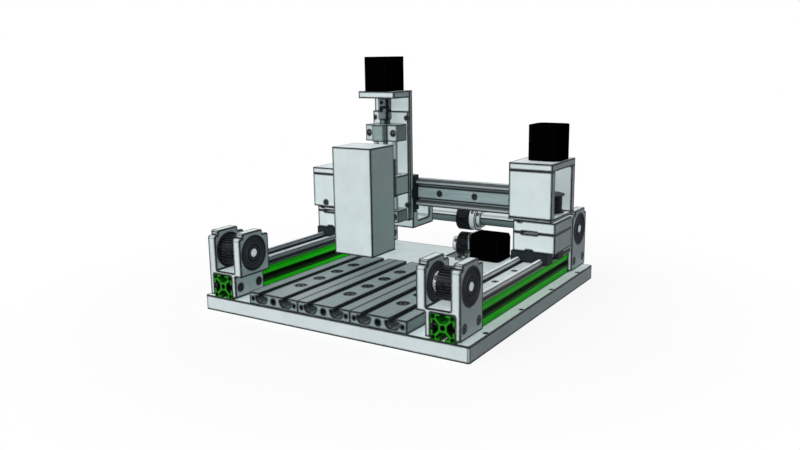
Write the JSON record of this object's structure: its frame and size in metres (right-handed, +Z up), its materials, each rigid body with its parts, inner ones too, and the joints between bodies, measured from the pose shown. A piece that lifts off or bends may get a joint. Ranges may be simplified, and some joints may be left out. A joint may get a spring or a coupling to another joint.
{
  "type": "three-axis gantry",
  "caption": "Three-axis belt-driven gantry: slotted bed, double-shaft rails, toothed pulleys in tall blocks, cross beam with a screw-driven vertical slide and plain tool head.",
  "frame": {"origin": "centre of the base plate's underside", "axes": "+X to the right along the cross beam, +Y to the back along the table rails, +Z up"},
  "size_m": [0.5035, 0.5, 0.4145],
  "materials": {
    "light_plate": "fine matt anodised",
    "table_aluminium": "extruded, matt anodised",
    "green_profile": "bright green anodised extrusion",
    "rail_grey": "extruded, matt anodised",
    "shaft_steel": "ground",
    "bearing_steel": "dark ground rings with seals",
    "carriage_dark": "dark satin",
    "pulley_black": "black anodised teeth",
    "motor_black": "black satin",
    "block_grey": "dark matt anodised",
    "screw_steel": "dark steel"
  },
  "bodies": {
    "base": {"base_plate": "light_plate", "table_plate_left": "table_aluminium", "table_plate_middle": "table_aluminium", "table_plate_right": "table_aluminium", "y_profile_left": "green_profile", "y_profile_right": "green_profile", "y_rail_left": "rail_grey", "y_rail_right": "rail_grey", "y_rail_shafts": "shaft_steel", "pulley_block_front_left": "light_plate", "pulley_block_front_right": "light_plate", "pulley_block_rear_left": "light_plate", "pulley_block_rear_right": "light_plate", "block_bearings": "bearing_steel", "y_motor_plate": "light_plate", "y_motor": "motor_black", "base_screws": "screw_steel"},
    "front_left_pulley": {"front_pulley_left": "pulley_black", "front_axle_left": "shaft_steel"},
    "front_right_pulley": {"front_pulley_right": "pulley_black", "front_axle_right": "shaft_steel"},
    "rear_shaft": {"cross_shaft": "shaft_steel", "rear_pulley_left": "pulley_black", "rear_pulley_right": "pulley_black", "shaft_drive_pulley": "pulley_black"},
    "table_motor_rotor": {"y_motor_pulley": "pulley_black"},
    "gantry": {"y_carriages": "carriage_dark", "side_block_left": "light_plate", "side_block_right": "light_plate", "belt_clamp_left": "light_plate", "belt_clamp_right": "light_plate", "box_floor_left": "light_plate", "box_floor_right": "light_plate", "box_sides_left": "light_plate", "box_sides_right": "light_plate", "box_roof_left": "light_plate", "box_roof_right": "light_plate", "x_profile": "rail_grey", "x_rail": "rail_grey", "x_rail_shafts": "shaft_steel", "x_motor": "motor_black", "gantry_screws": "screw_steel"},
    "beam_drive_pulley": {"x_drive_pulley": "pulley_black"},
    "beam_idler_pulley": {"x_idler_pulley": "pulley_black"},
    "z_unit": {"x_carriages": "carriage_dark", "z_back_plate": "light_plate", "z_front_plate": "light_plate", "z_motor_plate": "light_plate", "z_motor": "motor_black", "z_upper_bearing_block": "block_grey", "z_lower_bearing_block": "block_grey", "z_guide_shafts": "shaft_steel", "beam_bracket": "light_plate", "z_unit_screws": "screw_steel"},
    "z_screw": {"lead_screw": "shaft_steel", "screw_coupling": "shaft_steel"},
    "head": {"head_saddle": "block_grey", "head_bushings": "shaft_steel", "head_plate": "light_plate", "tool_head": "light_plate"}
  },
  "joints": [
    {"name": "gantry_y", "type": "slide", "parent": "base", "child": "gantry", "axis": [0, 1, 0], "range_m": [-0.222, 0.024]},
    {"name": "carriage_x", "type": "slide", "parent": "gantry", "child": "z_unit", "axis": [1, 0, 0], "range_m": [-0.048, 0.194]},
    {"name": "head_z", "type": "slide", "parent": "z_unit", "child": "head", "axis": [0, 0, 1], "range_m": [-0.028, 0.055]},
    {"name": "front_left_spin", "type": "hinge", "parent": "base", "child": "front_left_pulley", "pos_m": [0, -0.2175, 0.10079], "axis": [1, 0, 0], "range_deg": [-60, 510]},
    {"name": "front_right_spin", "type": "hinge", "parent": "base", "child": "front_right_pulley", "pos_m": [0, -0.2175, 0.10079], "axis": [1, 0, 0], "range_deg": [-60, 510]},
    {"name": "rear_shaft_spin", "type": "hinge", "parent": "base", "child": "rear_shaft", "pos_m": [0, 0.2135, 0.10079], "axis": [1, 0, 0], "range_deg": [-60, 510]},
    {"name": "table_motor_spin", "type": "hinge", "parent": "base", "child": "table_motor_rotor", "pos_m": [0, 0.2135, 0.04501], "axis": [1, 0, 0], "range_deg": [-60, 510]},
    {"name": "beam_drive_spin", "type": "hinge", "parent": "gantry", "child": "beam_drive_pulley", "pos_m": [0.2145, 0.1084, 0.146], "axis": [0, 0, 1], "range_deg": [-442, 114]},
    {"name": "beam_idler_spin", "type": "hinge", "parent": "gantry", "child": "beam_idler_pulley", "pos_m": [-0.2145, 0.1084, 0.146], "axis": [0, 0, 1], "range_deg": [-442, 114]},
    {"name": "z_screw_spin", "type": "hinge", "parent": "z_unit", "child": "z_screw", "pos_m": [-0.0728, 0.0415, 0.2], "axis": [0, 0, 1], "range_deg": [-1990, 1015]}
  ],
  "couplings": [
    {"joint": "front_left_spin", "follows": "gantry_y", "rad_per_m": -39.27},
    {"joint": "front_right_spin", "follows": "gantry_y", "rad_per_m": -39.27},
    {"joint": "rear_shaft_spin", "follows": "gantry_y", "rad_per_m": -39.27},
    {"joint": "table_motor_spin", "follows": "gantry_y", "rad_per_m": -39.27},
    {"joint": "beam_drive_spin", "follows": "carriage_x", "rad_per_m": -39.27},
    {"joint": "beam_idler_spin", "follows": "carriage_x", "rad_per_m": -39.27},
    {"joint": "z_screw_spin", "follows": "head_z", "rad_per_m": -628.32}
  ]
}
